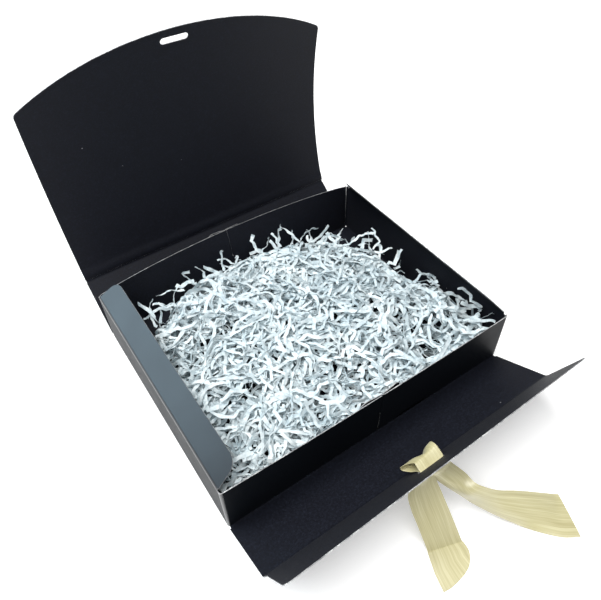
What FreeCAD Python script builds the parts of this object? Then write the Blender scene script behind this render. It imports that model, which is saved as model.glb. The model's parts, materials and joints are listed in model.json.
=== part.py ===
# Gift box: a folding-carton box of thin black card, open, with a loose ribbon closure
# and a bed of shredded paper.  Millimetres.  +X runs along the lid fold to the right,
# +Y to the back, +Z up.  The origin is the centre of the underside of the base panel.
#
# The carton is one folded blank.  Each panel between two creases is its own solid, and
# a panel that turns on a crease carries a round nose of half the card thickness on the
# crease line, so that it turns inside its own clearance.
import FreeCAD, Part
import os
import math

V = FreeCAD.Vector

# ---------------------------------------------------------------- driving dimensions
T = 0.6                  # card thickness
GAP = 0.3                # clearance on each side of a crease nose
W = 250.0                # outside width, along the lid fold
D = 202.0                # outside depth of the tray
H = 49.5                 # rim height of the tray

FOLD_Y = D / 2 + 0.6     # back and front creases of the base
FOLD_Z = T / 2
FLAP_Z = H + T / 2       # creases of the dust flaps on top of the side walls
FRONT_CLOSED_Z = H + 1.2     # mid-plane of the front flap when the box is shut
LID_CLOSED_Z = H + 2.1       # mid-plane of the lid when the box is shut

BACK_LEN = LID_CLOSED_Z - FOLD_Z      # back panel, crease to crease
FRONT_LEN = FRONT_CLOSED_Z - FOLD_Z   # front panel, crease to crease
BACK_REST = 36.0         # degrees above the table
LID_REST = 90.0          # degrees from +Y towards +Z
FRONT_REST = 26.0        # degrees above the table, towards -Y
FLAP_REST = 64.5         # degrees above the table, towards -Y
LEFT_DUST_REST = 35.0    # degrees above the horizontal, inwards
RIGHT_DUST_REST = 52.5

LID_APEX = 188.5         # crease to the middle of the arched edge
LID_ARC_R = 250.0        # radius of the arched edge
LID_CORNER_R = 7.0
LID_SLOT_S = 179.5       # crease to the middle of the ribbon slot
SLOT_X = -3.5            # both slots sit a little left of the middle
SLOT_LEN = 22.0
SLOT_WID = 5.2

FRONT_FLAP_LEN = 50.4
FRONT_FLAP_HALF = 123.2
FRONT_FLAP_CORNER_R = 5.0
FRONT_FLAP_SLOT_S = 23.3

DUST_LEN = 20.7          # width of a dust flap, crease to free edge
DUST_HALF = 97.6
LEFT_DUST_TAPER = 3.5    # how much shorter each end is at the free edge
LEFT_DUST_CORNER_R = 9.5
RIGHT_DUST_TAPER = 6.5
RIGHT_DUST_CORNER_R = 14.0

LOCK_SHIFT = 0.8         # step between the two planes of the interlocking end panels
LOCK_TAB = 18.0          # length of each hooked tab past the crossing
LOCK_TAB_R = 6.0
FRONT_CROSS_X = 2.0
BACK_CROSS_X = -2.0

RIBBON_W = 25.0
RIBBON_T = 0.5

# ---------------------------------------------------------------- helpers


def box(x0, x1, y0, y1, z0, z1):
    return Part.makeBox(x1 - x0, y1 - y0, z1 - z0, V(x0, y0, z0))


def frame(origin, ex, eu):
    """Placement that maps local x, y, z to ex, eu and ex x eu."""
    en = ex.cross(eu)
    m = FreeCAD.Matrix(ex.x, eu.x, en.x, origin.x,
                       ex.y, eu.y, en.y, origin.y,
                       ex.z, eu.z, en.z, origin.z,
                       0, 0, 0, 1)
    return FreeCAD.Placement(m)


def outline(points):
    """Closed wire from (x, y, r) corners, each rounded with radius r."""
    n = len(points)
    edges = []
    ends = []
    for i in range(n):
        px, py, r = points[i]
        ax, ay, _ = points[i - 1]
        bx, by, _ = points[(i + 1) % n]
        p = V(px, py, 0)
        a = (V(ax, ay, 0) - p).normalize()
        b = (V(bx, by, 0) - p).normalize()
        if r <= 0:
            ends.append((p, p, None))
            continue
        half = math.acos(max(-1, min(1, a.dot(b)))) / 2
        d = r / math.tan(half)
        mid = (a + b).normalize()
        c = p + mid * (r / math.sin(half))
        ends.append((p + a * d, p + b * d, c - mid * r))
    for i in range(n):
        s, e, m = ends[i]
        if m is not None:
            edges.append(Part.Arc(s, m, e).toShape())
        t = ends[(i + 1) % n][0]
        if (t - e).Length > 1e-6:
            edges.append(Part.LineSegment(e, t).toShape())
    return Part.Wire(edges)


def slot_hole(cx, cy, length, width):
    """Stadium prism to cut, along local z."""
    r = width / 2
    hx = length / 2 - r
    w = Part.Wire([
        Part.LineSegment(V(cx - hx, cy - r, 0), V(cx + hx, cy - r, 0)).toShape(),
        Part.Arc(V(cx + hx, cy - r, 0), V(cx + hx + r, cy, 0), V(cx + hx, cy + r, 0)).toShape(),
        Part.LineSegment(V(cx + hx, cy + r, 0), V(cx - hx, cy + r, 0)).toShape(),
        Part.Arc(V(cx - hx, cy + r, 0), V(cx - hx - r, cy, 0), V(cx - hx, cy - r, 0)).toShape()])
    f = Part.Face(w)
    f.translate(V(0, 0, -5))
    return f.extrude(V(0, 0, 10))


def plate(wire):
    """Card plate T thick, centred on local z = 0."""
    f = Part.Face(wire)
    f.translate(V(0, 0, -T / 2))
    return f.extrude(V(0, 0, T))


def nose(x0, x1):
    """Round nose along local x, on the crease line."""
    return Part.makeCylinder(T / 2, x1 - x0, V(x0, 0, 0), V(1, 0, 0))


def solid_of(shape):
    s = shape.removeSplitter()
    if s.ShapeType != "Solid" and len(s.Solids) == 1:
        s = s.Solids[0]
    return s


parts = {}
X = V(1, 0, 0)


def direction(deg, towards_back):
    """Unit vector rising deg degrees above the table, to the back or to the front."""
    c, s = math.cos(math.radians(deg)), math.sin(math.radians(deg))
    return V(0, c if towards_back else -c, s)


# ---------------------------------------------------------------- tray
parts["base_panel"] = box(-W / 2, W / 2, -D / 2, D / 2, 0, T)

front_out = -D / 2                     # outer face of the front end panels
back_in = D / 2 - LOCK_SHIFT - T - 0.0  # inner face of the back end panels
WALL_TOP = H - GAP
for name, s in (("left_wall", -1), ("right_wall", 1)):
    x0, x1 = sorted((s * W / 2, s * (W / 2 - T)))
    parts[name] = box(x0, x1, front_out + T, back_in, T, WALL_TOP)

# The end panels hook through each other: one slit from above, one from below.
MID_Z = (T + H) / 2


def lock_panel(side, cross, y_main, y_tab, lower):
    """side -1 comes from the left wall, 1 from the right wall.  y_main and y_tab are
    mid-planes of the main part and of the hooked tab.  lower: the strip that crosses
    is the lower half, and the other panel's is the upper half."""
    h = 1.6                            # half the length of the crossing strip
    m = box(-W / 2, cross - h, y_main - T / 2, y_main + T / 2, T, H) if side < 0 else \
        box(cross + h, W / 2, y_main - T / 2, y_main + T / 2, T, H)
    za, zb = (T, MID_Z - 0.3) if lower else (MID_Z + 0.3, H)
    xa, xb = cross + side * h, cross - side * h
    pts = [V(xa, y_main - T / 2, za), V(xb, y_tab - T / 2, za),
           V(xb, y_tab + T / 2, za), V(xa, y_main + T / 2, za)]
    strip = Part.Face(Part.makePolygon(pts + [pts[0]])).extrude(V(0, 0, zb - za))
    # tab, with its top corner and bottom corner rounded at the free end
    x_end = cross - side * LOCK_TAB
    s = -side
    w = outline([(xb, T + 1.5, 0), (x_end, T + 1.5, LOCK_TAB_R),
                 (x_end, H, LOCK_TAB_R), (xb, H, 0)] if s > 0 else
                [(xb, T + 1.5, 0), (xb, H, 0), (x_end, H, LOCK_TAB_R),
                 (x_end, T + 1.5, LOCK_TAB_R)])
    f = Part.Face(w)
    f.rotate(V(0, 0, 0), V(1, 0, 0), 90)
    f.translate(V(0, y_tab - T / 2, 0))
    tab = f.extrude(V(0, T, 0))
    return solid_of(m.fuse(strip).fuse(tab))


yf_main = front_out + T / 2
yf_tab = yf_main + LOCK_SHIFT + 0.1
yb_main = back_in + T / 2
yb_tab = yb_main + LOCK_SHIFT
parts["front_lock_panel_left"] = lock_panel(-1, FRONT_CROSS_X, yf_main, yf_tab, True)
parts["front_lock_panel_right"] = lock_panel(1, FRONT_CROSS_X, yf_main, yf_tab, False)
parts["back_lock_panel_left"] = lock_panel(-1, BACK_CROSS_X, yb_main, yb_tab, False)
parts["back_lock_panel_right"] = lock_panel(1, BACK_CROSS_X, yb_main, yb_tab, True)

# ---------------------------------------------------------------- dust flaps
for name, s, rest, taper, rad in (
        ("left_dust_flap", -1, LEFT_DUST_REST, LEFT_DUST_TAPER, LEFT_DUST_CORNER_R),
        ("right_dust_flap", 1, RIGHT_DUST_REST, RIGHT_DUST_TAPER, RIGHT_DUST_CORNER_R)):
    # local x along -s*Y so that local y runs inwards from the crease
    ex = V(0, s, 0)
    c, sn = math.cos(math.radians(rest)), math.sin(math.radians(rest))
    eu = V(-s * c, 0, sn)
    w = outline([(-DUST_HALF, 0, 0), (DUST_HALF, 0, 0),
                 (DUST_HALF - taper, DUST_LEN, rad),
                 (-DUST_HALF + taper, DUST_LEN, rad)])
    f = plate(w).fuse(nose(-DUST_HALF, DUST_HALF))
    f = solid_of(f)
    f.Placement = frame(V(s * (W / 2 - T / 2), 0, FLAP_Z), ex, eu)
    parts[name] = f

# ---------------------------------------------------------------- back panel and lid
u_back = direction(BACK_REST, True)
back_axis = V(0, FOLD_Y, FOLD_Z)
w = outline([(-W / 2, 0, 0), (W / 2, 0, 0), (W / 2, BACK_LEN - T / 2 - GAP, 0),
             (-W / 2, BACK_LEN - T / 2 - GAP, 0)])
f = solid_of(plate(w).fuse(nose(-W / 2, W / 2)))
f.Placement = frame(back_axis, X, u_back)
parts["back_panel"] = f

lid_axis = back_axis + u_back * BACK_LEN
u_lid = direction(LID_REST, True)
side_s = LID_APEX - (LID_ARC_R - math.sqrt(LID_ARC_R ** 2 - (W / 2) ** 2))
a = V(W / 2, side_s, 0)
b = V(-W / 2, side_s, 0)
lid_wire = Part.Wire([
    Part.LineSegment(V(-W / 2, 0, 0), V(W / 2, 0, 0)).toShape(),
    Part.LineSegment(V(W / 2, 0, 0), a).toShape(),
    Part.Arc(a, V(0, LID_APEX, 0), b).toShape(),
    Part.LineSegment(b, V(-W / 2, 0, 0)).toShape()])
lid = plate(lid_wire)
corner_edges = [e for e in lid.Edges
                if abs(e.Length - T) < 1e-4 and abs(e.CenterOfMass.y - side_s) < 1e-3]
lid = lid.makeFillet(LID_CORNER_R, corner_edges)
lid = lid.cut(slot_hole(SLOT_X, LID_SLOT_S, SLOT_LEN, SLOT_WID))
lid = solid_of(lid.fuse(nose(-W / 2, W / 2)))
lid.Placement = frame(lid_axis, X, u_lid)
parts["lid"] = lid

# ---------------------------------------------------------------- front panel and flap
u_front = direction(FRONT_REST, False)
front_axis = V(0, -FOLD_Y, FOLD_Z)
w = outline([(-W / 2, 0, 0), (W / 2, 0, 0), (W / 2, FRONT_LEN - T / 2 - GAP, 0),
             (-W / 2, FRONT_LEN - T / 2 - GAP, 0)])
f = solid_of(plate(w).fuse(nose(-W / 2, W / 2)))
f.Placement = frame(front_axis, X, u_front)
parts["front_panel"] = f

flap_axis = front_axis + u_front * FRONT_LEN
u_flap = direction(FLAP_REST, False)
hw = FRONT_FLAP_HALF
w = outline([(-W / 2, 0, 0), (W / 2, 0, 0), (hw, 5.0, 0), (hw, FRONT_FLAP_LEN, FRONT_FLAP_CORNER_R),
             (-hw, FRONT_FLAP_LEN, FRONT_FLAP_CORNER_R), (-hw, 5.0, 0)])
f = plate(w).cut(slot_hole(SLOT_X, FRONT_FLAP_SLOT_S, SLOT_LEN, SLOT_WID))
f = solid_of(f.fuse(nose(-W / 2, W / 2)))
f.Placement = frame(flap_axis, X, u_flap)
parts["front_flap"] = f

# ---------------------------------------------------------------- ribbon
# Local frame of the front flap: x, u up the flap, m to its inner side.
m_in = u_flap.cross(X)
if m_in.y < 0:
    m_in = m_in * -1


def on_flap(x, u, m):
    return flap_axis + X * x + u_flap * u + m_in * m


# Loop on the inner side: both legs come through the slot side by side.
us = FRONT_FLAP_SLOT_S
r_loop = 5.0
legs = 1.0


def loop_profile(off):
    """Outline of the bent strip at offset off from its middle line, in (u, m)."""
    pts = []
    for i in range(13):
        ang = math.radians(-55 + i * 290 / 12)
        pts.append((us + (r_loop + off) * math.sin(ang - math.radians(90)), 9.5 - (r_loop + off) * math.cos(ang - math.radians(90))))
    return pts


def strip_from_line(line, thick, x0, x1):
    """Extrude a thin strip that follows line, a list of (u, m), from x0 to x1."""
    left, right = [], []
    n = len(line)
    for i in range(n):
        p = line[max(i - 1, 0)]
        q = line[min(i + 1, n - 1)]
        du, dm = q[0] - p[0], q[1] - p[1]
        d = math.hypot(du, dm)
        nu, nm = -dm / d, du / d
        left.append((line[i][0] + nu * thick / 2, line[i][1] + nm * thick / 2))
        right.append((line[i][0] - nu * thick / 2, line[i][1] - nm * thick / 2))
    poly = left + right[::-1]
    pts = [on_flap(x0, u, m) for u, m in poly]
    wire = Part.makePolygon(pts + [pts[0]])
    return Part.Face(wire).extrude(X * (x1 - x0))


loop_line = [(us + 1.3, -0.9), (us + 1.2, 1.5), (us + 4.2, 5.2), (us + 6.2, 10.0), (us + 3.6, 14.6),
             (us - 0.6, 15.4), (us - 3.9, 12.2), (us - 3.9, 7.8), (us - 1.6, 3.6), (us - 1.2, 1.2), (us - 1.2, -0.9)]
parts["ribbon_loop"] = solid_of(strip_from_line(loop_line, RIBBON_T, SLOT_X - 10.2, SLOT_X + 10.2))


def tail(stations):
    """Loft a thin strip through stations (centre, across, width)."""
    wires = []
    n = len(stations)
    for i, (c, across, wid) in enumerate(stations):
        p = stations[max(i - 1, 0)][0]
        q = stations[min(i + 1, n - 1)][0]
        t = (q - p).normalize()
        ac = (across - t * across.dot(t)).normalize()
        nn = t.cross(ac).normalize()
        h = RIBBON_T / 2
        pts = [c - ac * (wid / 2) - nn * h, c + ac * (wid / 2) - nn * h,
               c + ac * (wid / 2) + nn * h, c - ac * (wid / 2) + nn * h]
        wires.append(Part.makePolygon(pts + [pts[0]]))
    return Part.makeLoft(wires, True, True)


# The tails leave the slot on the outer side, hang to the table and lie on it.
pl = on_flap(SLOT_X - 5.3, us, -2.2)
pr = on_flap(SLOT_X + 5.3, us - 1.0, -4.2)
AC_L = V(0.950, -0.313, 0)
parts["ribbon_left_tail"] = tail([
    (pl, V(1, 0, 0), 10.0),
    (V(-9.6, -164.2, 33.0), V(1, -0.1, 0), 15.0),
    (V(-12.0, -177.5, 15.0), AC_L, 24.0),
    (V(-15.4, -191.1, 0.9), AC_L, RIBBON_W),
    (V(-22.3, -212.0, 0.8), AC_L, 24.0)])
AC_R = V(0.79, 0.61, 0)
parts["ribbon_right_tail"] = tail([
    (pr, V(1, 0, 0), 10.0),
    (V(8.5, -166.5, 33.5), V(0.95, 0.1, 0.2), 14.0),
    (V(22.0, -178.5, 20.5), V(0.85, 0.4, 0.2), 20.0),
    (V(41.0, -197.0, 7.5), AC_R, 24.0),
    (V(65.0, -223.0, 0.9), AC_R, RIBBON_W)])

# ---------------------------------------------------------------- shredded paper
# A hollow mound: the loose paper's outer shape, its mass taken by a 3 mm skin.
FILL_BOTTOM = T + 0.2
fill_levels = [
    (FILL_BOTTOM, 0.0),
    (22.0, 1.5),
    (36.0, 5.0),
    (41.5, 13.0),
    (44.0, 30.0),
]
fill_plan = [(-119.0, -95.0), (-60.0, -97.0), (60.0, -97.0), (106.0, -95.0),
             (117.0, -75.0), (116.0, -34.0), (103.0, -4.0), (95.0, 30.0),
             (46.0, 76.0), (8.0, 89.0), (-50.0, 92.0), (-82.0, 84.0),
             (-112.0, 60.0), (-120.0, 0.0)]


def fill_wire(z, inset):
    cx, cy = -5.0, -8.0
    pts = []
    for x, y in fill_plan:
        dx, dy = x - cx, y - cy
        d = math.hypot(dx, dy)
        k = (d - inset) / d
        pts.append(V(cx + dx * k, cy + dy * k, z))
    return Part.makePolygon(pts + [pts[0]])


outer = Part.makeLoft([fill_wire(z, i) for z, i in fill_levels], True, True)
inner = Part.makeLoft([fill_wire(z - (3.0 if z > 5 else 0.0), i + 3.0) for z, i in fill_levels], True, True)
parts["shredded_paper_fill"] = solid_of(outer.cut(inner))

# ---------------------------------------------------------------- write
os.makedirs("parts", exist_ok=True)
for name, shape in parts.items():
    if not shape.isValid() or len(shape.Solids) != 1:
        print("CHECK", name, shape.isValid(), len(shape.Solids))
    shape.exportStep("parts/%s.step" % name)
    b = shape.BoundBox
    print("%-26s vol %9.1f  x %.1f..%.1f  y %.1f..%.1f  z %.2f..%.2f" % (
        name, shape.Volume, b.XMin, b.XMax, b.YMin, b.YMax, b.ZMin, b.ZMax))
print("lid axis", lid_axis, "flap axis", flap_axis, "slot", on_flap(0, us, 0))
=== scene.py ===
import json
import math
import bpy
import bmesh
import numpy as np
from mathutils import Vector, Matrix

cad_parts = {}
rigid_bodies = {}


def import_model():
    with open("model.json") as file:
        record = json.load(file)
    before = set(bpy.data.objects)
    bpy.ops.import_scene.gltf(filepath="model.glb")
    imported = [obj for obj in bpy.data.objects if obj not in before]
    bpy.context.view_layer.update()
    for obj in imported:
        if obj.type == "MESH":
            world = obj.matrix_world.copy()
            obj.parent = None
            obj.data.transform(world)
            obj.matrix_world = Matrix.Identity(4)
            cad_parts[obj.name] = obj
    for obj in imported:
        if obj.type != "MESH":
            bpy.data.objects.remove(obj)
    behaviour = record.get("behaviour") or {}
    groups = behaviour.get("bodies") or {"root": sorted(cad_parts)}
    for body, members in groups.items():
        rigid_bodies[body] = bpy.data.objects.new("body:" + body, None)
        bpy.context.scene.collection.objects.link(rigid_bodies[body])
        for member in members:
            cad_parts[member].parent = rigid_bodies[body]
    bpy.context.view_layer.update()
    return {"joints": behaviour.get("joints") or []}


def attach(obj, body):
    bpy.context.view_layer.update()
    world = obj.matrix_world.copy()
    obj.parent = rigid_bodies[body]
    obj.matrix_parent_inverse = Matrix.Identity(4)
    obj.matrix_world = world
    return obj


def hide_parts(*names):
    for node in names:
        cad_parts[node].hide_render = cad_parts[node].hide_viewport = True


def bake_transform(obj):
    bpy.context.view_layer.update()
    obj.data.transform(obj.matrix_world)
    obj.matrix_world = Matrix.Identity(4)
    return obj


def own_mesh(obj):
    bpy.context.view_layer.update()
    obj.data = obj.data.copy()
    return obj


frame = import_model()

MM = 0.001
T = 0.6                                   # card thickness, mm
W, D, H = 250.0, 202.0, 49.5
JOINT = {j["name"]: j for j in frame["joints"]}


def rad(a):
    return math.radians(a)


def axis_point(joint):
    return np.array(JOINT[joint]["pos_m"], float) / MM


BACK_C = axis_point("back_panel_fold")
LID_C = axis_point("lid_fold")
FRONT_C = axis_point("front_panel_fold")
FLAP_C = axis_point("front_flap_fold")
LDUST_C = axis_point("left_dust_flap_fold")
RDUST_C = axis_point("right_dust_flap_fold")
BACK_LEN = float(np.linalg.norm(LID_C[1:] - BACK_C[1:]))
FRONT_LEN = float(np.linalg.norm(FLAP_C[1:] - FRONT_C[1:]))
BACK_A, FRONT_A, FLAP_A, LID_A = rad(36.0), rad(26.0), rad(64.5), rad(90.0)
SLOT_X = -3.5
LDUST_A, RDUST_A = rad(35.0), rad(52.5)
R_FOLD = 1.6                              # reach of a crease strip on each panel, mm


# ------------------------------------------------------------------ materials
def nodes_of(name):
    m = bpy.data.materials.new(name)
    m.use_nodes = True
    nt = m.node_tree
    nt.nodes.clear()
    out = nt.nodes.new("ShaderNodeOutputMaterial")
    b = nt.nodes.new("ShaderNodeBsdfPrincipled")
    nt.links.new(b.outputs["BSDF"], out.inputs["Surface"])
    return m, nt, b


def noise(nt, coord, scale, detail=3.0, rough=0.6, stretch=None):
    src = coord
    if stretch is not None:
        mp = nt.nodes.new("ShaderNodeMapping")
        mp.inputs["Scale"].default_value = stretch
        nt.links.new(coord, mp.inputs["Vector"])
        src = mp.outputs["Vector"]
    n = nt.nodes.new("ShaderNodeTexNoise")
    n.inputs["Scale"].default_value = scale
    n.inputs["Detail"].default_value = detail
    n.inputs["Roughness"].default_value = rough
    nt.links.new(src, n.inputs["Vector"])
    return n.outputs["Fac"]


def ramp(nt, fac, stops):
    r = nt.nodes.new("ShaderNodeValToRGB")
    e = r.color_ramp.elements
    while len(e) < len(stops):
        e.new(0.5)
    for k, (p, c) in enumerate(stops):
        e[k].position = p
        e[k].color = (*c, 1.0)
    nt.links.new(fac, r.inputs["Fac"])
    return r.outputs["Color"]


def math_node(nt, op, a, b=None, c=None):
    n = nt.nodes.new("ShaderNodeMath")
    n.operation = op
    for k, v in enumerate((a, b, c)):
        if v is None:
            continue
        if isinstance(v, (int, float)):
            n.inputs[k].default_value = v
        else:
            nt.links.new(v, n.inputs[k])
    return n.outputs[0]


def mix_rgb(nt, fac, a, b, blend="MIX"):
    n = nt.nodes.new("ShaderNodeMix")
    n.data_type = "RGBA"
    n.blend_type = blend
    for sock, v in ((n.inputs[0], fac), (n.inputs[6], a), (n.inputs[7], b)):
        if isinstance(v, (int, float)):
            sock.default_value = v
        elif isinstance(v, tuple):
            sock.default_value = (*v, 1.0)
        else:
            nt.links.new(v, sock)
    return n.outputs[2]


def bump(nt, b, height, strength, distance):
    n = nt.nodes.new("ShaderNodeBump")
    n.inputs["Strength"].default_value = strength
    n.inputs["Distance"].default_value = distance
    nt.links.new(height, n.inputs["Height"])
    nt.links.new(n.outputs["Normal"], b.inputs["Normal"])


def card_inner():
    """Uncoated black paper: a felt-like mottle, a fine grain and a few pale fibre specks."""
    m, nt, b = nodes_of("black_paper_inside")
    tc = nt.nodes.new("ShaderNodeTexCoord").outputs["Object"]
    broad = noise(nt, tc, 14.0, 3.0, 0.55)
    mott = noise(nt, tc, 620.0, 4.0, 0.7)
    fine = noise(nt, tc, 2600.0, 2.0, 0.6)
    both = math_node(nt, "ADD", math_node(nt, "MULTIPLY", mott, 0.62), math_node(nt, "MULTIPLY", fine, 0.38))
    col = ramp(nt, both, [(0.33, (0.0009, 0.0012, 0.0032)), (0.50, (0.0026, 0.0036, 0.0086)), (0.68, (0.011, 0.0145, 0.026))])
    col = mix_rgb(nt, math_node(nt, "MULTIPLY", broad, 0.35), col, (0.005, 0.006, 0.011))
    v = nt.nodes.new("ShaderNodeTexVoronoi")
    v.feature = "F1"
    v.inputs["Scale"].default_value = 72.0
    v.inputs["Randomness"].default_value = 1.0
    nt.links.new(tc, v.inputs["Vector"])
    dot = math_node(nt, "LESS_THAN", v.outputs["Distance"], 0.034)
    rare = math_node(nt, "GREATER_THAN", noise(nt, tc, 60.0, 1.0, 0.5), 0.56)
    speck = math_node(nt, "MULTIPLY", dot, rare)
    col = mix_rgb(nt, math_node(nt, "MULTIPLY", speck, 0.6), col, (0.30, 0.31, 0.33))
    nt.links.new(col, b.inputs["Base Color"])
    r = math_node(nt, "ADD", math_node(nt, "MULTIPLY", mott, 0.30), 0.50)
    nt.links.new(r, b.inputs["Roughness"])
    b.inputs["Specular IOR Level"].default_value = 0.22
    b.inputs["Sheen Weight"].default_value = 0.02
    b.inputs["Sheen Roughness"].default_value = 0.5
    bump(nt, b, both, 0.55, 0.00025)
    return m


def card_outer(name="black_satin_outside", spec=0.62, coat=0.25, rough=0.24):
    """Smooth black satin film on the outside of the blank."""
    m, nt, b = nodes_of(name)
    tc = nt.nodes.new("ShaderNodeTexCoord").outputs["Object"]
    broad = noise(nt, tc, 9.0, 3.0, 0.5)
    fine = noise(nt, tc, 1900.0, 2.0, 0.55)
    wave = noise(nt, tc, 48.0, 2.0, 0.5)
    col = ramp(nt, broad, [(0.30, (0.005, 0.0065, 0.0095)), (0.70, (0.0085, 0.0105, 0.0145))])
    v = nt.nodes.new("ShaderNodeTexVoronoi")
    v.feature = "F1"
    v.inputs["Scale"].default_value = 55.0
    nt.links.new(tc, v.inputs["Vector"])
    dust = math_node(nt, "MULTIPLY", math_node(nt, "LESS_THAN", v.outputs["Distance"], 0.020), 0.5)
    col = mix_rgb(nt, dust, col, (0.35, 0.36, 0.38))
    nt.links.new(col, b.inputs["Base Color"])
    r = math_node(nt, "ADD", math_node(nt, "MULTIPLY", wave, 0.10), math_node(nt, "ADD", math_node(nt, "MULTIPLY", fine, 0.06), rough))
    nt.links.new(r, b.inputs["Roughness"])
    b.inputs["Specular IOR Level"].default_value = spec
    b.inputs["Coat Weight"].default_value = coat
    b.inputs["Coat Roughness"].default_value = 0.32
    bump(nt, b, math_node(nt, "ADD", math_node(nt, "MULTIPLY", fine, 0.2), wave), 0.10, 0.0004)
    return m


def card_edge():
    """Cut edge of the board: grey core with paler broken fibres."""
    m, nt, b = nodes_of("cut_card_edge")
    tc = nt.nodes.new("ShaderNodeTexCoord").outputs["Object"]
    n1 = noise(nt, tc, 900.0, 3.0, 0.6)
    n2 = noise(nt, tc, 130.0, 3.0, 0.6)
    s = math_node(nt, "MULTIPLY", n1, n2)
    col = ramp(nt, s, [(0.12, (0.10, 0.10, 0.11)), (0.26, (0.33, 0.34, 0.35)), (0.42, (0.74, 0.75, 0.75))])
    nt.links.new(col, b.inputs["Base Color"])
    b.inputs["Roughness"].default_value = 0.75
    bump(nt, b, n1, 0.4, 0.0002)
    return m


def satin():
    """Ivory satin: fine warp threads along the strip, woven selvedges."""
    m, nt, b = nodes_of("ivory_satin")
    uv = nt.nodes.new("ShaderNodeUVMap")
    uv.uv_map = "UVMap"
    uvo = uv.outputs["UV"]
    warp = noise(nt, uvo, 1.0, 2.0, 0.5, (1500.0, 26.0, 1.0))
    streak = noise(nt, uvo, 1.0, 3.0, 0.6, (260.0, 9.0, 1.0))
    weft = noise(nt, uvo, 1.0, 1.0, 0.5, (60.0, 2600.0, 1.0))
    sx = nt.nodes.new("ShaderNodeSeparateXYZ")
    nt.links.new(uvo, sx.inputs[0])
    side = math_node(nt, "ABSOLUTE", math_node(nt, "SUBTRACT", sx.outputs[0], 0.0125))
    selv = math_node(nt, "GREATER_THAN", side, 0.0114)
    v = math_node(nt, "ADD", math_node(nt, "MULTIPLY", warp, 0.5), math_node(nt, "MULTIPLY", streak, 0.5))
    col = ramp(nt, v, [(0.30, (0.385, 0.345, 0.165)), (0.52, (0.53, 0.49, 0.275)), (0.72, (0.68, 0.65, 0.42))])
    col = mix_rgb(nt, math_node(nt, "MULTIPLY", selv, 0.35), col, (0.58, 0.53, 0.33))
    nt.links.new(col, b.inputs["Base Color"])
    r = math_node(nt, "ADD", math_node(nt, "MULTIPLY", warp, 0.16), 0.34)
    nt.links.new(r, b.inputs["Roughness"])
    b.inputs["Specular IOR Level"].default_value = 0.75
    b.inputs["Coat Weight"].default_value = 0.55
    b.inputs["Coat Roughness"].default_value = 0.30
    b.inputs["Sheen Weight"].default_value = 0.30
    b.inputs["Sheen Roughness"].default_value = 0.35
    b.inputs["Sheen Tint"].default_value = (1.0, 0.98, 0.86, 1.0)
    h = math_node(nt, "ADD", math_node(nt, "MULTIPLY", warp, 0.7), math_node(nt, "ADD", math_node(nt, "MULTIPLY", weft, 0.3), math_node(nt, "MULTIPLY", selv, 0.6)))
    bump(nt, b, h, 0.35, 0.00012)
    return m


def shred_mat():
    """White tissue shreds: faint cool tint, with soft noise patches of painted grey-blue shade standing in for the
    shade of crumpled, overlapping strips.
    """
    m, nt, b = nodes_of("white_shredded_tissue")
    tc = nt.nodes.new("ShaderNodeTexCoord").outputs["Object"]
    n1 = noise(nt, tc, 260.0, 3.0, 0.6)
    n2 = noise(nt, tc, 34.0, 2.0, 0.5)
    n3 = noise(nt, tc, 2200.0, 2.0, 0.5)
    s = math_node(nt, "ADD", math_node(nt, "MULTIPLY", n1, 0.6), math_node(nt, "MULTIPLY", n2, 0.4))
    # the ramp's dark grey-blue end is painted shade; its pale end is the tissue's own colour
    col = ramp(nt, s, [(0.34, (0.43, 0.53, 0.58)), (0.50, (0.63, 0.72, 0.755)), (0.64, (0.79, 0.855, 0.875))])
    nt.links.new(col, b.inputs["Base Color"])
    r = math_node(nt, "ADD", math_node(nt, "MULTIPLY", n1, 0.2), 0.40)
    nt.links.new(r, b.inputs["Roughness"])
    b.inputs["Specular IOR Level"].default_value = 0.35
    bump(nt, b, math_node(nt, "ADD", n1, math_node(nt, "MULTIPLY", n3, 0.4)), 0.35, 0.0004)
    return m


def floor_mat():
    m, nt, b = nodes_of("pale_floor")
    b.inputs["Base Color"].default_value = (0.80, 0.80, 0.805, 1)
    b.inputs["Emission Color"].default_value = (1.0, 1.0, 1.0, 1)
    b.inputs["Emission Strength"].default_value = 0.38
    b.inputs["Roughness"].default_value = 0.8
    b.inputs["Specular IOR Level"].default_value = 0.1
    return m


M_IN, M_OUT, M_EDGE = card_inner(), card_outer(), card_edge()
M_SATIN, M_SHRED, M_FLOOR = satin(), shred_mat(), floor_mat()
CARD_MATS = (M_IN, M_OUT, M_EDGE)


# ------------------------------------------------------------------ camera and light
def place_camera():
    az, el, roll = rad(-32.71), rad(47.39), rad(-1.9)
    back = Vector((math.sin(az) * math.cos(el), -math.cos(az) * math.cos(el), math.sin(el)))
    right = (-back).cross(Vector((0, 0, 1))).normalized()
    up = right.cross(-back)
    r2 = right * math.cos(roll) + up * math.sin(roll)
    u2 = -right * math.sin(roll) + up * math.cos(roll)
    cam = bpy.data.objects.new("camera", bpy.data.cameras.new("camera"))
    bpy.context.scene.collection.objects.link(cam)
    m = Matrix((r2, u2, back)).transposed().to_4x4()
    m.translation = Vector((-0.16477, -0.26074, 0.39113))
    cam.matrix_world = m
    cam.data.sensor_width = 36.0
    cam.data.sensor_fit = "HORIZONTAL"
    cam.data.lens = 589.86 / 601.0 * 36.0
    cam.data.clip_start = 0.01
    bpy.context.scene.camera = cam


def area_light(name, pos, target, size, power, color=(1, 1, 1), size_y=None):
    d = bpy.data.lights.new(name, "AREA")
    d.shape = "RECTANGLE"
    d.size = size
    d.size_y = size_y or size
    d.energy = power
    d.color = color
    o = bpy.data.objects.new(name, d)
    bpy.context.scene.collection.objects.link(o)
    o.location = pos
    o.rotation_euler = (Vector(target) - Vector(pos)).to_track_quat("-Z", "Y").to_euler()
    return o


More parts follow.
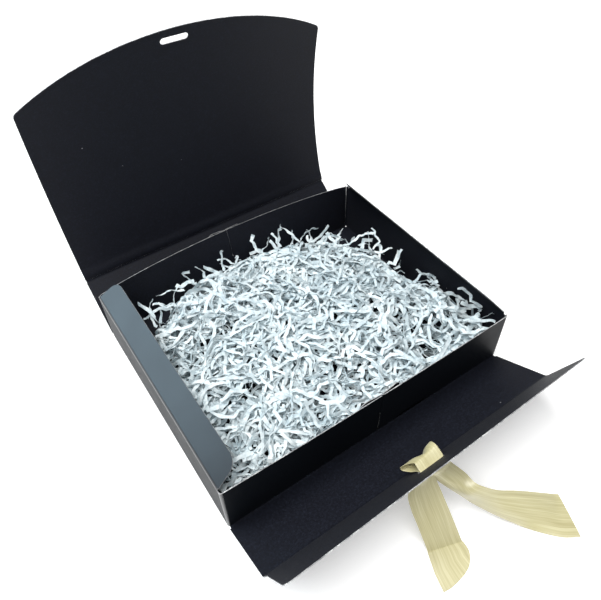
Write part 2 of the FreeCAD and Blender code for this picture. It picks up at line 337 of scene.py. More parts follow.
place_camera()
world = bpy.data.worlds.new("studio")
bpy.context.scene.world = world
world.use_nodes = True
world.node_tree.nodes["Background"].inputs[0].default_value = (0.97, 0.985, 1.0, 1)
world.node_tree.nodes["Background"].inputs[1].default_value = 0.27
area_light("key", (-0.45, 0.0, 1.75), (0, -0.03, 0), 1.5, 50, (1.0, 0.995, 0.98))
area_light("front_fill", (0.5, -1.5, 1.0), (0, 0, 0.05), 1.2, 3, (1.0, 0.985, 0.96))
area_light("left_back", (-1.15, 1.0, 0.62), (-0.1, 0, 0.05), 0.9, 6, (0.60, 0.84, 1.0), 0.55)
bpy.context.scene.view_settings.view_transform = "Standard"

fm = bpy.data.meshes.new("floor")
fm.from_pydata([(-4, -4, 0), (4, -4, 0), (4, 4, 0), (-4, 4, 0)], [], [(0, 1, 2, 3)])
floor = bpy.data.objects.new("floor", fm)
bpy.context.scene.collection.objects.link(floor)
floor.location.z = -0.0002
fm.materials.append(M_FLOOR)


# ------------------------------------------------------------------ geometry helpers
def rounded(points, n=9):
    """Closed outline of (x, y, r) corners as a list of 2D points."""
    out = []
    k = len(points)
    for i in range(k):
        p = np.array(points[i][:2], float)
        r = points[i][2]
        a = np.array(points[i - 1][:2], float) - p
        b = np.array(points[(i + 1) % k][:2], float) - p
        if r <= 0:
            out.append(tuple(p))
            continue
        a /= np.linalg.norm(a)
        b /= np.linalg.norm(b)
        half = math.acos(float(np.clip(a @ b, -1, 1))) / 2
        d = r / math.tan(half)
        mid = (a + b) / np.linalg.norm(a + b)
        c = p + mid * (r / math.sin(half))
        s, e = p + a * d - c, p + b * d - c
        a0, a1 = math.atan2(s[1], s[0]), math.atan2(e[1], e[0])
        while a1 - a0 > math.pi:
            a1 -= 2 * math.pi
        while a1 - a0 < -math.pi:
            a1 += 2 * math.pi
        for j in range(n + 1):
            t = a0 + (a1 - a0) * j / n
            out.append((c[0] + r * math.cos(t), c[1] + r * math.sin(t)))
    return out


def stadium(cx, cy, length, width, n=10):
    r = width / 2
    hx = length / 2 - r
    pts = []
    for j in range(n + 1):
        t = -math.pi / 2 + math.pi * j / n
        pts.append((cx + hx + r * math.cos(t), cy + r * math.sin(t)))
    for j in range(n + 1):
        t = math.pi / 2 + math.pi * j / n
        pts.append((cx - hx + r * math.cos(t), cy + r * math.sin(t)))
    return pts


def flat_fill(outline, holes, cuts_x, cuts_u):
    """Triangles that fill the outline, cut along grid lines."""
    cu = bpy.data.curves.new("tmp", "CURVE")
    cu.dimensions = "2D"
    cu.fill_mode = "BOTH"
    for loop in [outline, *holes]:
        sp = cu.splines.new("POLY")
        sp.points.add(len(loop) - 1)
        for k, (x, y) in enumerate(loop):
            sp.points[k].co = (x, y, 0, 1)
        sp.use_cyclic_u = True
    ob = bpy.data.objects.new("tmp", cu)
    bpy.context.scene.collection.objects.link(ob)
    bpy.context.view_layer.update()
    me = bpy.data.meshes.new_from_object(ob.evaluated_get(bpy.context.evaluated_depsgraph_get()))
    bpy.data.objects.remove(ob)
    bm = bmesh.new()
    bm.from_mesh(me)
    bpy.data.meshes.remove(me)
    bmesh.ops.remove_doubles(bm, verts=bm.verts, dist=1e-4)
    for c in cuts_x:
        bmesh.ops.bisect_plane(bm, geom=bm.verts[:] + bm.edges[:] + bm.faces[:], plane_co=(c, 0, 0), plane_no=(1, 0, 0), dist=1e-4)
    for c in cuts_u:
        bmesh.ops.bisect_plane(bm, geom=bm.verts[:] + bm.edges[:] + bm.faces[:], plane_co=(0, c, 0), plane_no=(0, 1, 0), dist=1e-4)
    bmesh.ops.triangulate(bm, faces=bm.faces[:])
    bmesh.ops.recalc_face_normals(bm, faces=bm.faces[:])
    bm.verts.index_update()
    xy = np.array([v.co[:2] for v in bm.verts], float)
    faces, edges = [], []
    for f in bm.faces:
        idx = [v.index for v in f.verts]
        if f.normal.z < 0:
            idx.reverse()
        faces.append(idx)
    count = {}
    for f in faces:
        for a, b in zip(f, f[1:] + f[:1]):
            count[(a, b)] = True
    for (a, b) in count:
        if (b, a) not in count:
            edges.append((a, b))
    bm.free()
    return xy, faces, edges


def link_mesh(name, verts, faces, mats, index=None, uv=None, sharp=35.0):
    me = bpy.data.meshes.new(name)
    me.from_pydata([tuple(v) for v in verts], [], faces)
    for m in mats:
        me.materials.append(m)
    if index is not None:
        me.polygons.foreach_set("material_index", index)
    me.polygons.foreach_set("use_smooth", [True] * len(me.polygons))
    me.update()
    if uv is not None:
        layer = me.uv_layers.new(name="UVMap")
        loops = np.zeros(len(me.loops), np.int32)
        me.loops.foreach_get("vertex_index", loops)
        layer.data.foreach_set("uv", np.asarray(uv, np.float32)[loops].ravel())
    me.set_sharp_from_angle(angle=rad(sharp))
    ob = bpy.data.objects.new(name, me)
    bpy.context.scene.collection.objects.link(ob)
    return ob


def card(name, outline, holes, fmap, cuts_x=(), cuts_u=(), thick=T):
    """A card panel.  fmap(x, u) gives the mid-surface and its normal to the inner side, in mm."""
    xy, faces, edges = flat_fill(outline, holes, cuts_x, cuts_u)
    p, n = fmap(xy[:, 0], xy[:, 1])
    a, b, c = faces[0]
    fn = np.cross(p[b] - p[a], p[c] - p[a])
    flip = float(fn @ n[a]) < 0
    k = len(xy)
    verts = np.concatenate([p + n * thick / 2, p - n * thick / 2]) * MM
    allf, index = [], []
    for f in faces:
        g = list(f)
        if flip:
            g.reverse()
        allf.append(g)
        index.append(0)
        allf.append([i + k for i in reversed(g)])
        index.append(1)
    for a, b in edges:
        q = [b, a, a + k, b + k]
        if flip:
            q.reverse()
        allf.append(q)
        index.append(2)
    return link_mesh(name, verts, allf, CARD_MATS, index)


def plane_map(origin, ex, eu, nin):
    o, ex, eu, nin = (np.array(v, float) for v in (origin, ex, eu, nin))

    def f(x, u):
        return o + np.outer(x, ex) + np.outer(u, eu), np.tile(nin, (len(x), 1))
    return f


def fold(name, c, e, x0, x1, da, db, nin_a, r=R_FOLD, thick=T):
    """A crease strip around the line c + e x, from panel direction da to db.  c, da and db may be functions of x."""
    fc = c if callable(c) else (lambda x, v=np.array(c, float): v)
    fa = da if callable(da) else (lambda x, v=np.array(da, float): v)
    fb = db if callable(db) else (lambda x, v=np.array(db, float): v)
    e, nin_a = np.array(e, float), np.array(nin_a, float)
    m = 8
    t = np.linspace(0, 1, m + 1)[:, None]
    seg = max(2, int((x1 - x0) / 12))
    xs = np.linspace(x0, x1, seg + 1)
    top, bot = [], []
    for x in xs:
        c0 = fc(x)
        a, b = c0 + fa(x) * r, c0 + fb(x) * r
        prof = (1 - t) ** 2 * a + 2 * t * (1 - t) * c0 + t ** 2 * b
        tang = 2 * (1 - t) * (c0 - a) + 2 * t * (b - c0)
        tang /= np.linalg.norm(tang, axis=1)[:, None]
        nrm = np.cross(e, tang)
        if nrm[0] @ nin_a < 0:
            nrm = -nrm
        top.append(prof + nrm * thick / 2 + e * x)
        bot.append(prof - nrm * thick / 2 + e * x)
    verts = np.concatenate(top + bot) * MM
    row = m + 1
    half = row * (seg + 1)
    faces, index = [], []
    for s in (0, 1):
        for i in range(seg):
            for j in range(m):
                q = [s * half + i * row + j, s * half + i * row + j + 1, s * half + (i + 1) * row + j + 1, s * half + (i + 1) * row + j]
                faces.append(q if s else q[::-1])
                index.append(s)
    for i in range(seg):
        for j in (0, m):
            q = [i * row + j, (i + 1) * row + j, half + (i + 1) * row + j, half + i * row + j]
            faces.append(q if j == 0 else q[::-1])
            index.append(2)
    for i in (0, seg):
        for j in range(m):
            q = [i * row + j, i * row + j + 1, half + i * row + j + 1, half + i * row + j]
            faces.append(q if i else q[::-1])
            index.append(2)
    ob = link_mesh(name, verts, faces, CARD_MATS, index)
    bm = bmesh.new()
    bm.from_mesh(ob.data)
    bmesh.ops.recalc_face_normals(bm, faces=bm.faces[:])
    bm.to_mesh(ob.data)
    bm.free()
    mid = fc(0.0)
    return ob, (mid + fa(0.0) * r) * MM, (mid + fb(0.0) * r) * MM


def put(ob, body, *nodes):
    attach(ob, body)
    if nodes:
        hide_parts(*nodes)
    return ob


def joint_fold(name, c, e, x0, x1, da, db, nin_a):
    ob, a, b = fold(name, c, e, x0, x1, da, db, nin_a)
    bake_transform(ob)
    return ob


R = R_FOLD
# ------------------------------------------------------------------ tray
base = card("base", rounded([(-W / 2 + 0.3 + R, -FRONT_C[1] * 0 - 101.6 + R, 0), (W / 2 - 0.3 - R, -101.6 + R, 0),
                             (W / 2 - 0.3 - R, 101.6 - R, 0), (-W / 2 + 0.3 + R, 101.6 - R, 0)]), [],
            plane_map((0, 0, T / 2), (1, 0, 0), (0, 1, 0), (0, 0, 1)))
put(base, "tray", "base_panel")

Y0, Y1 = -100.7, 99.9                      # mid-planes of the end panels' main parts
WX = W / 2 - T / 2
WALL_U1 = LDUST_C[2]
for name, s in (("left", -1), ("right", 1)):
    ob = card(name + "_side_wall", [(Y0 + R, 0.3 + R), (Y1 - R, 0.3 + R), (Y1 - R, WALL_U1 - R), (Y0 + R, WALL_U1 - R)], [],
              plane_map((s * WX, 0, 0), (0, 1, 0), (0, 0, 1), (-s, 0, 0)))
    put(ob, "tray", name + "_wall")
    ob, _, _ = fold(name + "_base_crease", (s * WX, 0, 0.3), (0, 1, 0), Y0 + R, Y1 - R, (-s, 0, 0), (0, 0, 1), (0, 0, 1))
    put(ob, "tray")
    for end, y, dy in (("front", Y0, 1), ("back", Y1, -1)):
        ob, _, _ = fold(name + "_" + end + "_corner_crease", (s * WX, y, 0), (0, 0, 1), 1.0, H, (0, dy, 0), (-s, 0, 0), (-s, 0, 0))
        put(ob, "tray")


def bow(x):
    return np.clip(1 - (x / 125.0) ** 2, 0, 1) ** 0.8


def lock_map(y_plane, out, amount, power, cross, flare):
    """End panel: bows outwards towards its top centre; the tab past the crossing leans away.  out is -1 at the front wall, 1 at the back wall; flare is along y."""
    def f(x, z):
        y = y_plane + out * amount * bow(x) * (np.clip(z, 0, None) / H) ** power
        y = y + flare(x)
        nin = np.zeros((len(x), 3))
        dx = 0.5
        yd = (y_plane + out * amount * bow(x + dx) * (z / H) ** power + flare(x + dx)) - y
        nin[:, 0] = yd / dx * out
        nin[:, 1] = -out
        nin[:, 2] = amount * bow(x) * power * (np.clip(z, 1, None) / H) ** (power - 1) / H
        nin /= np.linalg.norm(nin, axis=1)[:, None]
        return np.stack([x, y, z], 1), nin
    return f


def lock_panel(name, side, wall, y_main, step, cross, amount, power, out, slit_top, node, flare_amt):
    """side -1 hinges on the left wall.  step: y of the tab's plane less the main plane.  slit_top: this panel is slit from its top edge."""
    d = -side                                   # direction of the tab
    h = 1.2
    tab_end = cross + d * 18.0
    far = side * (WX - R)
    zb, zt = 1.4, H
    mid = (T + H) / 2
    sgn = 1 if d > 0 else -1
    pts = [(far, zb, 0), (cross - d * h * 0.4, zb, 0)]
    if slit_top:
        pts += [(cross, zb + 0.2, 0), (cross + d * 2, zb + 1.0, 0), (tab_end - d * 6, zb + 2.0, 3), (tab_end, zb + 8, 3), (tab_end, zt, 7), (cross + d * 0.9, zt, 0.8), (cross + d * 0.5, mid - 1, 0), (cross - d * 0.5, mid - 1, 0), (cross - d * 0.9, zt, 0.8), (far, zt, 0)]
    else:
        pts = [(far, zb, 0), (cross - d * 0.7, zb, 0.6), (cross - d * 0.35, mid + 1, 0), (cross + d * 0.35, mid + 1, 0), (cross + d * 0.7, zb, 0.6), (tab_end - d * 6, zb + 2.0, 3), (tab_end, zb + 8, 3), (tab_end, zt, 7), (far, zt, 0)]
    o = rounded(pts)
    if sgn < 0:
        o = o[::-1]

    def flare(x):
        t = (x - cross) * d
        s = np.clip((t + 1.5) / 3.0, 0, 1)
        s = s * s * (3 - 2 * s)
        return step * s + np.sign(step) * flare_amt * (np.clip(t, 0, 18) / 18.0) ** 1.2

    cuts_x = [cross + k for k in (-1.5, -1.0, -0.5, 0.0, 0.5, 1.0, 1.5, 4, 8, 12, 15, -4, -8, -12, -15)] + [k * 12.5 for k in range(-9, 10)]
    ob = card(name, o, [], lock_map(y_main, out, amount, power, cross, flare), cuts_x=cuts_x, cuts_u=[k * 6.0 for k in range(1, 8)])
    if out < 0:
        # the scored lower edge is chamfered on its outer side, so the pale core shows as a line
        v = ob.data.vertices
        for q in v:
            x, y, z = q.co / MM
            if q.index >= len(v) // 2 and z < zb + 0.4:
                q.co.z += (0.3 + 1.5 * max(0.0, 1 - ((x + 4) / 62.0) ** 2)) * MM
    return put(ob, "tray", node)


lock = {}
lock["fl"] = lock_panel("front_end_panel_left", -1, "left", Y0, 0.9, 2.0, 1.2, 1.3, -1, True, "front_lock_panel_left", 2.6)
lock["fr"] = lock_panel("front_end_panel_right", 1, "right", Y0, 0.9, 2.0, 1.2, 1.3, -1, False, "front_lock_panel_right", 1.6)
lock["bl"] = lock_panel("back_end_panel_left", -1, "left", Y1, 0.8, -2.0, 12.0, 1.5, 1, False, "back_lock_panel_left", 1.2)
lock["br"] = lock_panel("back_end_panel_right", 1, "right", Y1, 0.8, -2.0, 12.0, 1.5, 1, True, "back_lock_panel_right", 2.2)
for k in ("bl", "br"):
    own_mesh(lock[k])
for k in ("fl", "fr"):
    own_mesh(lock[k])

# ------------------------------------------------------------------ dust flaps
DL, DH = 20.7, 97.6
for name, s, ang, c, taper, rr in (("left", -1, LDUST_A, LDUST_C, 3.5, 9.5), ("right", 1, RDUST_A, RDUST_C, 9.0, 14.0)):
    u = np.array([-s * math.cos(ang), 0, math.sin(ang)])
    nin = np.array([-s * math.sin(ang), 0, -math.cos(ang)])
    o = rounded([(-DH, R, 0), (DH, R, 0), (DH - taper, DL, rr), (-DH + taper, DL, rr)], 12)
    ob = card(name + "_dust_flap_card", o, [], plane_map(c, (0, 1, 0), u, nin))
    put(ob, name + "_dust_flap", name + "_dust_flap")
    joint_fold(name + "_dust_flap_crease", c, (0, 1, 0), -97.2, 97.2, (0, 0, -1), u, (-s, 0, 0))

# ------------------------------------------------------------------ back panel and lid
ub = np.array([0, math.cos(BACK_A), math.sin(BACK_A)])
nb = np.array([0, -math.sin(BACK_A), math.cos(BACK_A)])
ob = card("back_panel_card", [(-W / 2, R), (W / 2, R), (W / 2, BACK_LEN - R), (-W / 2, BACK_LEN - R)], [],
          plane_map(BACK_C, (1, 0, 0), ub, nb))
put(ob, "back_panel", "back_panel")
joint_fold("back_panel_crease", BACK_C, (1, 0, 0), -W / 2 + 1, W / 2 - 1, (0, -1, 0), ub, (0, 0, 1))

def lid_map(x, s):
    """The opened lid curls towards the box and is a little twisted."""
    t = (x + 125.0) / 250.0
    th0 = np.radians(68.7 * (1 - t) + 72.5 * t)
    r = 290.0
    th = th0 + s / r
    dy = r * (np.sin(th) - np.sin(th0))
    dz = -r * (np.cos(th) - np.cos(th0))
    k = np.clip((s - 0.5) / 11.0, 0, 1)
    k = k * k * (3 - 2 * k)
    p = np.stack([x, LID_C[1] + dy * k, LID_C[2] + dz * k + s * (1 - k)], 1)
    h = 0.25
    th2 = th0 + (s + h) / r
    k2 = np.clip((s + h - 0.5) / 11.0, 0, 1)
    k2 = k2 * k2 * (3 - 2 * k2)
    dy2 = r * (np.sin(th2) - np.sin(th0))
    dz2 = -r * (np.cos(th2) - np.cos(th0))
    ty = dy2 * k2 - dy * k
    tz = dz2 * k2 + (s + h) * (1 - k2) - dz * k - s * (1 - k)
    n = np.stack([np.zeros_like(th), -tz, ty], 1)
    n /= np.linalg.norm(n, axis=1)[:, None]
    return p, n


apex, arc_r = 188.5, 249.0
LW, RW = 126.6, 125.0
arc = []
a0, a1 = math.asin(RW / arc_r), -math.asin(LW / arc_r)
for k in range(45):
    a = a0 + (a1 - a0) * k / 44
    arc.append((arc_r * math.sin(a), apex - arc_r + arc_r * math.cos(a), 5.0 if k in (0, 44) else 0))
# the fillet needs straight neighbours, so the arc starts a little way in
arc = [arc[0]] + arc[2:-2] + [arc[-1]]
o = rounded([(-125.0, R, 0), (125.0, R, 0)] + arc, 8)
lid = card("lid_card", o, [stadium(SLOT_X, 179.2, 22.0, 5.2)], lid_map, cuts_x=[k * 25.0 for k in range(-4, 5)], cuts_u=[2, 3, 4, 5, 6, 7, 8, 9, 10, 11] + [13 + 5.0 * k for k in range(35)])
put(lid, "lid", "lid")
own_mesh(lid)
joint_fold("lid_crease", LID_C, (1, 0, 0), -W / 2 + 0.3, W / 2 - 0.3, -ub, (0, 0, 1), nb)

# ------------------------------------------------------------------ front panel and flap
def swing(deg):
    a = math.radians(deg)
    return np.array([0, -math.cos(a), math.sin(a)]), np.array([0, math.sin(a), math.cos(a)])


def twist_plane(centre, mean, left, right):
    """A panel hinged at centre(x) whose slope runs from left to right, in degrees."""
    def slope(x):
        return left + (right - left) * (x + 125.0) / 250.0

    def f(x, u):
        a = np.radians(slope(x))
        c = np.array([centre(v) for v in x])
        p = c + np.stack([x, -np.cos(a) * u, np.sin(a) * u], 1)
        n = np.stack([np.zeros_like(a), np.sin(a), np.cos(a)], 1)
        return p, n
    return f, slope


uf, nf = swing(26.0)
front_f, front_slope = twist_plane(lambda x: FRONT_C, 26.0, 24.9, 27.2)


def flap_axis_at(x):
    return FRONT_C + swing(front_slope(x))[0] * FRONT_LEN


flap_f, flap_slope = twist_plane(flap_axis_at, 64.5, 61.9, 67.2)
ob = card("front_panel_card", [(-W / 2, R), (W / 2, R), (W / 2, FRONT_LEN - R), (-W / 2, FRONT_LEN - R)], [], front_f, cuts_x=[k * 25.0 for k in range(-4, 5)], cuts_u=[12, 24, 36])
put(ob, "front_panel", "front_panel")
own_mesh(ob)
joint_fold("front_panel_crease", FRONT_C, (1, 0, 0), -W / 2 + 1, W / 2 - 1, (0, 1, 0), lambda x: swing(front_slope(x))[0], (0, 0, 1))

ul, nl = swing(64.5)
hw = 123.2
FLAP_SLOT = 23.3
o = rounded([(-W / 2, R, 0), (W / 2, R, 0), (hw, 5.0, 0), (hw, 50.8, 5), (-hw, 50.8, 5), (-hw, 5.0, 0)], 8)
ob = card("front_flap_card", o, [stadium(SLOT_X, FLAP_SLOT, 22.0, 5.2)], flap_f, cuts_x=[k * 25.0 for k in range(-4, 5)], cuts_u=[10, 16, 30, 40])
put(ob, "front_flap", "front_flap")
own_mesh(ob)
joint_fold("front_flap_crease", flap_axis_at, (1, 0, 0), -W / 2, W / 2, lambda x: -swing(front_slope(x))[0], lambda x: swing(flap_slope(x))[0], nf)


# ------------------------------------------------------------------ ribbon
def strip(name, rows, mats=(M_SATIN,), thick=0.28, uv_rows=None):
    """A thin closed strip through a grid of points rows[i][j] in mm: i along, j across."""
    g = np.array(rows, float)
    ni, nj = g.shape[:2]
    di = np.gradient(g, axis=0)
    dj = np.gradient(g, axis=1)
    n = np.cross(dj, di)
    n /= np.maximum(np.linalg.norm(n, axis=2), 1e-9)[..., None]
    top, bot = g + n * thick / 2, g - n * thick / 2
    verts = np.concatenate([top.reshape(-1, 3), bot.reshape(-1, 3)]) * MM
    k = ni * nj
    faces = []
    for i in range(ni - 1):
        for j in range(nj - 1):
            q = [i * nj + j, i * nj + j + 1, (i + 1) * nj + j + 1, (i + 1) * nj + j]
            faces.append(q)
            faces.append([v + k for v in q[::-1]])
    for i in range(ni - 1):
        for j in (0, nj - 1):
            q = [i * nj + j, (i + 1) * nj + j, (i + 1) * nj + j + k, i * nj + j + k]
            faces.append(q if j == 0 else q[::-1])
    for j in range(nj - 1):
        for i in (0, ni - 1):
            q = [i * nj + j, i * nj + j + 1, i * nj + j + 1 + k, i * nj + j + k]
            faces.append(q[::-1] if i == 0 else q)
    along = np.concatenate([[0], np.cumsum(np.linalg.norm(np.diff(g[:, nj // 2], axis=0), axis=1))])
    uv = np.zeros((ni, nj, 2))
    uv[..., 0] = np.linspace(0, 0.025, nj)[None, :]
    uv[..., 1] = along[:, None] * MM
    if uv_rows is not None:
        uv = uv_rows
    uv2 = np.concatenate([uv.reshape(-1, 2)] * 2)
    ob = link_mesh(name, verts, faces, mats, None, uv2, 60.0)
    bm = bmesh.new()
    bm.from_mesh(ob.data)
    bmesh.ops.recalc_face_normals(bm, faces=bm.faces[:])
    bm.to_mesh(ob.data)
    bm.free()
    return ob, float(along[-1])


def bez(ctrl, n):
    """Smooth curve (Catmull-Rom, centripetal-ish) through control rows; each row is any-shape array."""
    c = [np.array(v, float) for v in ctrl]
    c = [2 * c[0] - c[1]] + c + [2 * c[-1] - c[-2]]
    out = []
    seg = len(c) - 3
    for s in range(seg):
        p0, p1, p2, p3 = c[s:s + 4]
        for k in range(n):
            t = k / n
            out.append(0.5 * ((2 * p1) + (-p0 + p2) * t + (2 * p0 - 5 * p1 + 4 * p2 - p3) * t * t + (-p0 + 3 * p1 - 3 * p2 + p3) * t ** 3))
    out.append(c[-2])
    return np.array(out)


def fl(x, u, m):
    return FLAP_C + np.array([1.0, 0, 0]) * x + ul * u + nl * m


# Loop on the inner side of the flap: a flat front leg, folded over at its top, and a back leg pulled to the left.
us = FLAP_SLOT
loop_ctrl = []
for (u, m, xl, xr, ml, mr, dip) in [
        (us - 0.2, -1.2, -12.9, 6.6, 0, 0, 0),
        (us - 0.4, 0.6, -12.9, 6.9, 0, 0, 0),
        (us - 0.8, 3.2, -12.7, 7.2, -0.1, 0.2, 0),
        (us - 1.5, 5.5, -12.4, 7.4, -0.3, 1.2, 0),
        (us - 2.3, 6.6, -12.3, 7.5, -0.4, 1.9, 0),
        (us - 4.3, 7.4, -13.4, 7.7, -0.3, 2.6, 0.4),
        (us - 7.6, 8.0, -16.5, 8.0, 0.0, 2.9, 1.6),
        (us - 11.0, 7.2, -18.6, 8.2, 0.4, 3.0, 2.2),
        (us - 12.2, 5.0, -17.8, 8.0, 0.2, 2.0, 1.2),
        (us - 10.0, 2.2, -14.6, 7.2, 0.0, 0.6, 0.2),
        (us - 5.4, 0.9, -12.6, 6.6, 0, 0, 0),
        (us - 1.9, -1.2, -12.4, 6.2, 0, 0, 0)]:
    row = []
    for j in range(17):
        t = j / 16
        x = xl + (xr - xl) * t
        low = -dip * 1.5 * math.exp(-((t - 0.60) / 0.15) ** 2)
        row.append(fl(x, u + 0.2 * math.sin(t * 8), m + ml + (mr - ml) * t * t + low))
    loop_ctrl.append(row)
loop, loop_len = strip("ribbon_loop_satin", bez(loop_ctrl, 6))
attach(loop, "front_flap")
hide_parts("ribbon_loop")


TO_VIEW = np.array([-0.37, -0.57, 0.736])


def tail_rows(stations, n):
    """stations: (left point, right point, cup, wave).  Rows of 15 points, cupped towards the front."""
    ctrl = []
    k = len(stations)
    mids = [(np.array(a, float) + np.array(b, float)) / 2 for a, b, _, _ in stations]
    for i, (a, b, cup, wave) in enumerate(stations):
        a, b = np.array(a, float), np.array(b, float)
        t = mids[min(i + 1, k - 1)] - mids[max(i - 1, 0)]
        nn = np.cross(b - a, t)
        nn /= max(np.linalg.norm(nn), 1e-9)
        if nn @ TO_VIEW < 0:
            nn = -nn
        row = []
        for j in range(15):
            s = j / 14
            row.append(a + (b - a) * s + nn * (cup * 4 * s * (1 - s) + wave * math.sin(2 * math.pi * s)))
        ctrl.append(row)
    return bez(ctrl, n)


LEFT = [(fl(-12.6, us - 0.4, -0.9), fl(5.4, us - 0.4, -0.9), 0.5, 0),
        (fl(-15.8, us - 2.6, -3.8), fl(4.2, us - 1.6, -3.4), 1.0, 0.2),
        ((-24.4, -160.4, 32.6), (-3.4, -162.0, 36.9), 1.0, 0.4),
        ((-26.4, -167.2, 23.6), (-4.2, -170.6, 28.0), 0.7, 0.3),
        ((-26.6, -173.6, 16.6), (-4.3, -178.8, 19.4), 0.5, -0.3),
        ((-26.8, -181.2, 7.8), (-4.3, -187.6, 9.4), 0.4, 0.2),
        ((-27.0, -187.2, 1.0), (-4.2, -194.6, 1.1), 0.15, 0),
        ((-27.8, -188.8, 0.55), (-4.0, -196.4, 0.55), 0.0, 0),
        ((-30.4, -195.0, 0.5), (-4.2, -199.6, 0.5), 0.25, 0),
        ((-33.0, -201.5, 0.5), (-5.0, -202.6, 0.5), 0.2, 0.1),
        ((-35.6, -211.6, 0.5), (-6.3, -204.6, 0.5), 0.0, 0)]
RIGHT = [(fl(-11.6, us + 1.2, -1.6), fl(6.6, us + 1.2, -1.6), 0.5, 0),
         (fl(-9.8, us - 1.2, -5.0), fl(9.2, us - 0.6, -5.0), 1.2, 0),
         ((-4.9, -161.6, 34.6), (10.4, -161.8, 38.4), 2.6, 0),
         ((1.2, -168.6, 27.0), (15.2, -170.4, 33.0), 4.0, 0),
         ((8.6, -176.0, 18.0), (15.4, -178.6, 33.2), 4.2, -0.8),
         ((14.4, -183.4, 11.6), (18.8, -183.6, 31.6), 2.6, -0.6),
         ((24.2, -197.6, 6.0), (27.6, -189.2, 25.6), 2.0, 0.2),
         ((31.2, -206.6, 2.8), (38.8, -194.4, 20.4), 2.4, 0.4),
         ((36.4, -213.4, 1.0), (49.6, -199.0, 13.8), 2.8, 0.3),
         ((43.6, -222.6, 0.6), (62.0, -204.4, 5.6), 2.2, 0),
         ((51.4, -230.8, 0.6), (68.8, -207.6, 1.6), 1.0, 0),
         ((60.9, -237.0, 0.6), (72.0, -209.6, 0.7), 0.3, 0)]
LEFT_END = [(-35.6, -211.6), (-30.0, -212.4), (-24.6, -212.1), (-18.0, -211.3), (-12.4, -209.7), (-8.8, -207.3), (-6.3, -204.6)]


def surface(ob):
    """Half of a closed strip's own surface: the cloth it is made from, in square metres."""
    return sum(p.area for p in ob.data.polygons) / 2


def make_tail(side, st, cut_row, node):
    rows = tail_rows(st, 8)
    if side == "left":
        # the free end is cut round its right corner
        g = np.array(LEFT_END)
        d = np.concatenate([[0], np.cumsum(np.linalg.norm(np.diff(g, axis=0), axis=1))])
        for j in range(15):
            v = d[-1] * j / 14
            end = np.array([np.interp(v, d, g[:, 0]), np.interp(v, d, g[:, 1]), 0.5])
            for i in range(8):
                w = ((i + 1) / 8) ** 1.3
                rows[-8 + i, j] = rows[-9, j] * (1 - w) + end * w
    near, far = rows[:cut_row + 1], rows[cut_row:]
    a, la = strip("ribbon_%s_neck" % side, near)
    b, lb = strip("ribbon_%s_tail_satin" % side, far)
    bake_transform(a)
    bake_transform(b)
    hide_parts(node)
    return a, b, la, lb


la = make_tail("left", LEFT, 16, "ribbon_left_tail")
ra = make_tail("right", RIGHT, 16, "ribbon_right_tail")
for (a, b, l1, l2), nm in ((la, "left"), (ra, "right")):
    print("tail", nm, round(l1, 1), round(l2, 1), round(surface(a) * 1e6), round(surface(b) * 1e6))


# ------------------------------------------------------------------ shredded paper
def heap_top(x, y):
    """Height of the paper bed's upper envelope, mm."""
    plan = np.array([(-121.0, -98.0), (-60.0, -99.0), (60.0, -99.0), (104.0, -98.0), (119.0, -78.0),
                     (120.0, -36.0), (107.0, -20.0), (104.0, 0.0), (104.0, 30.0), (58.0, 78.0), (10.0, 90.0), (-44.0, 89.0),
                     (-76.0, 76.0), (-104.0, 46.0), (-121.0, -10.0)])
    best = 1e9
    inside = False
    n = len(plan)
    for i in range(n):
        a, b = plan[i], plan[(i + 1) % n]
        ab = b - a
        t = max(0.0, min(1.0, ((x - a[0]) * ab[0] + (y - a[1]) * ab[1]) / (ab @ ab)))
        d = math.hypot(x - a[0] - ab[0] * t, y - a[1] - ab[1] * t)
        best = min(best, d)
        if (a[1] > y) != (b[1] > y) and x < (b[0] - a[0]) * (y - a[1]) / (b[1] - a[1]) + a[0]:
            inside = not inside
    d = best if inside else -best
    if d < -6:
        return 0.0
    near_wall = 1.0 if (y < -70 or x < -95) else 0.0
    h = 47.0 - 26.0 * math.exp(-max(d, 0) / 13.0) * (1 - 0.75 * near_wall)
    h += 2.5 * math.sin(x * 0.045 + 1.0) * math.cos(y * 0.055)
    for hx, hy, hr, hd in ((-88, 10, 13, 24), (-96, -70, 10, 26), (-30, -58, 9, 16), (30, 20, 10, 18), (62, -60, 11, 22), (-10, 60, 10, 12), (85, -20, 9, 14), (60, -84, 12, 20)):
        h -= hd * math.exp(-((x - hx) ** 2 + (y - hy) ** 2) / (hr * hr))
    if d < 0:
        h *= max(0.0, 1 + d / 6.0)
    return min(max(h, 2.0), 49.0)


GX, GY = np.arange(-124, 125, 4.0), np.arange(-100, 101, 4.0)
GRID = np.array([[heap_top(x, y) for y in GY] for x in GX])


def top_at(x, y):
    fx = min(max((x + 124) / 4.0, 0), len(GX) - 1.001)
    fy = min(max((y + 100) / 4.0, 0), len(GY) - 1.001)
    i, j = int(fx), int(fy)
    a, b = fx - i, fy - j
    return (GRID[i, j] * (1 - a) * (1 - b) + GRID[i + 1, j] * a * (1 - b) + GRID[i, j + 1] * (1 - a) * b + GRID[i + 1, j + 1] * a * b)


def limit_z(x, y):
    """Nothing stands above this, so that the flaps and the lid close over the paper."""
    if abs(x) > 100:
        return 48.4
    return 50.2


